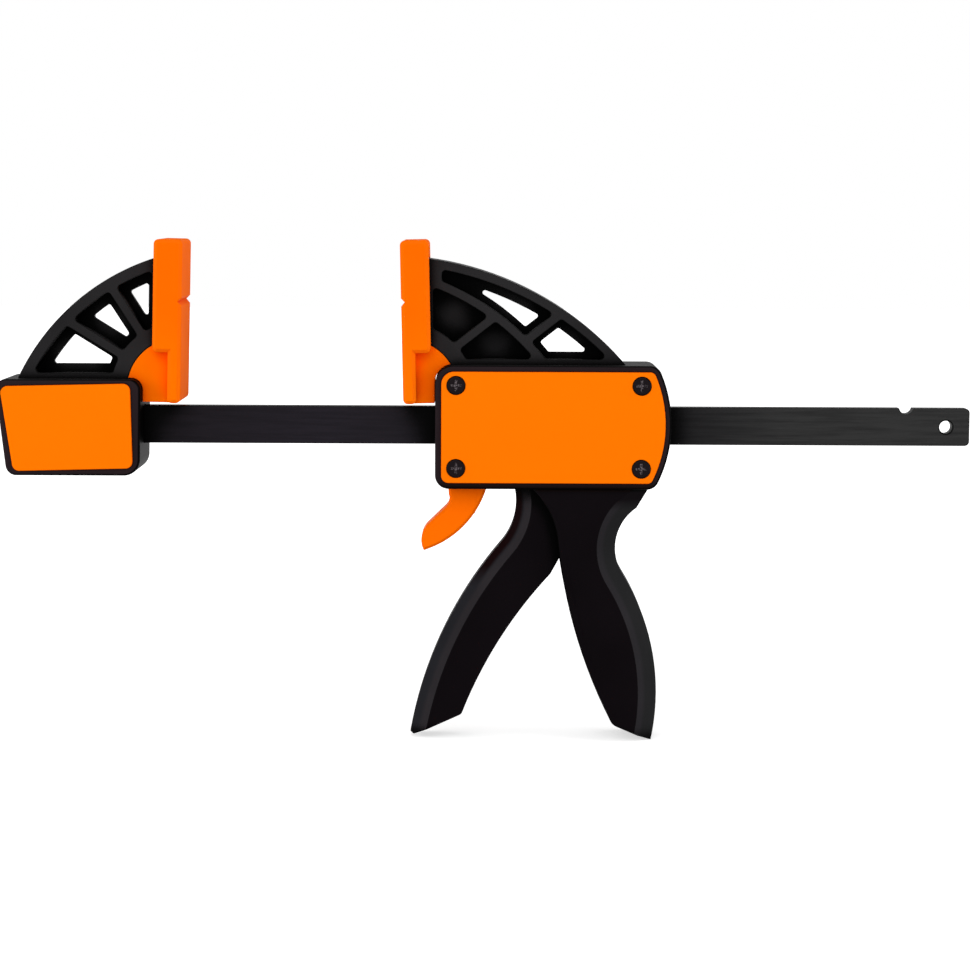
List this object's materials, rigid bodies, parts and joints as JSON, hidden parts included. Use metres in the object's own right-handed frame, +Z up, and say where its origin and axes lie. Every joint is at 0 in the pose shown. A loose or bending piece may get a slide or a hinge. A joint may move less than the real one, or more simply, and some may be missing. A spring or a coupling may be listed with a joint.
{
  "type": "quick release bar clamp",
  "caption": "One-handed bar clamp: webbed fixed jaw, sliding head with pistol grip, squeeze trigger and release lever, flat steel bar and soft pads.",
  "frame": {"origin": "middle of the hole at the bar's free end, on the bar's mid-plane and centre line", "axes": "+X along the bar from the fixed jaw to the free end, +Z up toward the jaws, Y across the bar, the covered side at -Y"},
  "size_m": [0.3604, 0.0367, 0.1863],
  "materials": {
    "bar_steel": "black oxide on drawn flat bar",
    "black_nylon": "glass-filled nylon, fine moulded grain",
    "orange_plastic": "satin ABS",
    "pad_rubber": "soft matt elastomer",
    "black_screw": "black oxide",
    "zinc_steel": "zinc plated",
    "spring_steel": "oiled spring wire"
  },
  "bodies": {
    "fixed_jaw": {"bar": "bar_steel", "fixed_jaw_body": "black_nylon", "fixed_jaw_cover": "orange_plastic", "fixed_jaw_pad": "pad_rubber", "jaw_lock_spring": "spring_steel"},
    "jaw_lock": {"jaw_lock_plunger": "zinc_steel"},
    "head": {"head_body": "black_nylon", "front_cover": "orange_plastic", "cover_screws": "black_screw", "cover_nuts": "zinc_steel", "moving_jaw_pad": "pad_rubber", "trigger_pin": "zinc_steel", "drive_spring": "spring_steel", "brake_spring": "spring_steel"},
    "trigger": {"trigger": "black_nylon"},
    "drive": {"drive_plate_1": "zinc_steel", "drive_plate_2": "zinc_steel"},
    "release": {"brake_plate": "zinc_steel", "release_lever": "orange_plastic"}
  },
  "joints": [
    {"name": "head_slide", "type": "slide", "parent": "fixed_jaw", "child": "head", "axis": [1, 0, 0], "range_m": [-0.0785, 0.085]},
    {"name": "jaw_lock_press", "type": "slide", "parent": "fixed_jaw", "child": "jaw_lock", "axis": [0, -1, 0], "range_m": [0, 0.0044], "stiffness_N_per_m": 1500, "springref_m": -0.002, "deforming": ["jaw_lock_spring"]},
    {"name": "trigger_squeeze", "type": "hinge", "parent": "head", "child": "trigger", "pos_m": [-0.1401, 0, 0.0132], "axis": [0, -1, 0], "range_deg": [0, 13], "stiffness_Nm_per_rad": 0.6, "springref_deg": -20.05},
    {"name": "drive_plate_push", "type": "slide", "parent": "head", "child": "drive", "axis": [1, 0, 0], "range_m": [0, 0.0055], "deforming": ["drive_spring"]},
    {"name": "release_pull", "type": "hinge", "parent": "head", "child": "release", "pos_m": [-0.172, 0, 0.0198], "axis": [0, -1, 0], "range_deg": [0, 7], "stiffness_Nm_per_rad": 0.5, "springref_deg": -11.46, "deforming": ["brake_spring"]}
  ],
  "couplings": [
    {"joint": "drive_plate_push", "follows": "trigger_squeeze", "m_per_rad": 0.0242}
  ]
}
